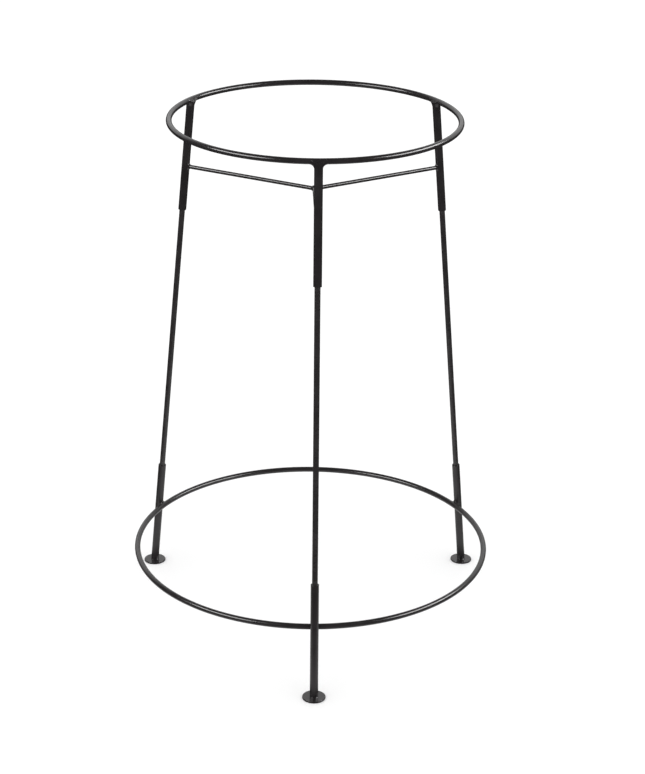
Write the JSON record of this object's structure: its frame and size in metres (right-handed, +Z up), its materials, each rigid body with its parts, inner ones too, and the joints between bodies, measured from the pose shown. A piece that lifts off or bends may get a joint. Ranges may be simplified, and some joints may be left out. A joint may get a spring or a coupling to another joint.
{
  "type": "umbrella stand",
  "caption": "Open knock-down umbrella stand of black steel wire: a top ring with a spoked brace and a wider bottom ring, joined by splayed push-fit leg rods on round foot discs.",
  "frame": {"origin": "on the floor, under the centre of the two rings", "axes": "+Z up; the front leg stands towards -Y and the back legs at 30 and 150 degrees from +X"},
  "size_m": [0.4499, 0.4779, 0.65],
  "materials": {
    "ring_paint": "semi-gloss black paint",
    "socket_paint": "semi-gloss black paint",
    "rod_paint": "semi-gloss black paint",
    "spoke_paint": "semi-gloss black paint",
    "foot_paint": "gloss black paint",
    "weld_paint": "semi-gloss black paint over weld beads",
    "plug_steel": "bare turned steel"
  },
  "bodies": {
    "bottom_frame": {"bottom_ring": "ring_paint", "lower_socket_front": "socket_paint", "ring_weld_above_front": "weld_paint", "ring_weld_below_front": "weld_paint", "lower_stop_plug_front": "plug_steel", "foot_disc_front": "foot_paint", "foot_weld_front": "weld_paint", "lower_socket_right": "socket_paint", "ring_weld_above_right": "weld_paint", "ring_weld_below_right": "weld_paint", "lower_stop_plug_right": "plug_steel", "foot_disc_right": "foot_paint", "foot_weld_right": "weld_paint", "lower_socket_left": "socket_paint", "ring_weld_above_left": "weld_paint", "ring_weld_below_left": "weld_paint", "lower_stop_plug_left": "plug_steel", "foot_disc_left": "foot_paint", "foot_weld_left": "weld_paint"},
    "top_frame": {"top_ring": "ring_paint", "hub_weld": "weld_paint", "upper_socket_front": "socket_paint", "upper_ring_weld_front": "weld_paint", "upper_stop_plug_front": "plug_steel", "brace_spoke_front": "spoke_paint", "spoke_weld_front": "weld_paint", "upper_socket_right": "socket_paint", "upper_ring_weld_right": "weld_paint", "upper_stop_plug_right": "plug_steel", "brace_spoke_right": "spoke_paint", "spoke_weld_right": "weld_paint", "upper_socket_left": "socket_paint", "upper_ring_weld_left": "weld_paint", "upper_stop_plug_left": "plug_steel", "brace_spoke_left": "spoke_paint", "spoke_weld_left": "weld_paint"},
    "front_leg": {"leg_rod_front": "rod_paint"},
    "right_leg": {"leg_rod_right": "rod_paint"},
    "left_leg": {"leg_rod_left": "rod_paint"}
  },
  "joints": [
    {"name": "top_frame_lift", "type": "slide", "parent": "bottom_frame", "child": "top_frame", "axis": [0, 0, 1], "range_m": [0, 0.06]},
    {"name": "front_rod_lean", "type": "hinge", "parent": "bottom_frame", "child": "front_leg", "pos_m": [0, -0.22636, 0.125], "axis": [1, 0, 0], "range_deg": [0, 0.9]},
    {"name": "right_rod_lean", "type": "hinge", "parent": "bottom_frame", "child": "right_leg", "pos_m": [0.19603, 0.11318, 0.125], "axis": [-0.5, 0.866, 0], "range_deg": [0, 0.9]},
    {"name": "left_rod_lean", "type": "hinge", "parent": "bottom_frame", "child": "left_leg", "pos_m": [-0.19603, 0.11318, 0.125], "axis": [-0.5, -0.866, 0], "range_deg": [0, 0.9]}
  ],
  "couplings": [
    {"joint": "front_rod_lean", "follows": "top_frame_lift", "rad_per_m": 0.248},
    {"joint": "right_rod_lean", "follows": "top_frame_lift", "rad_per_m": 0.248},
    {"joint": "left_rod_lean", "follows": "top_frame_lift", "rad_per_m": 0.248}
  ]
}
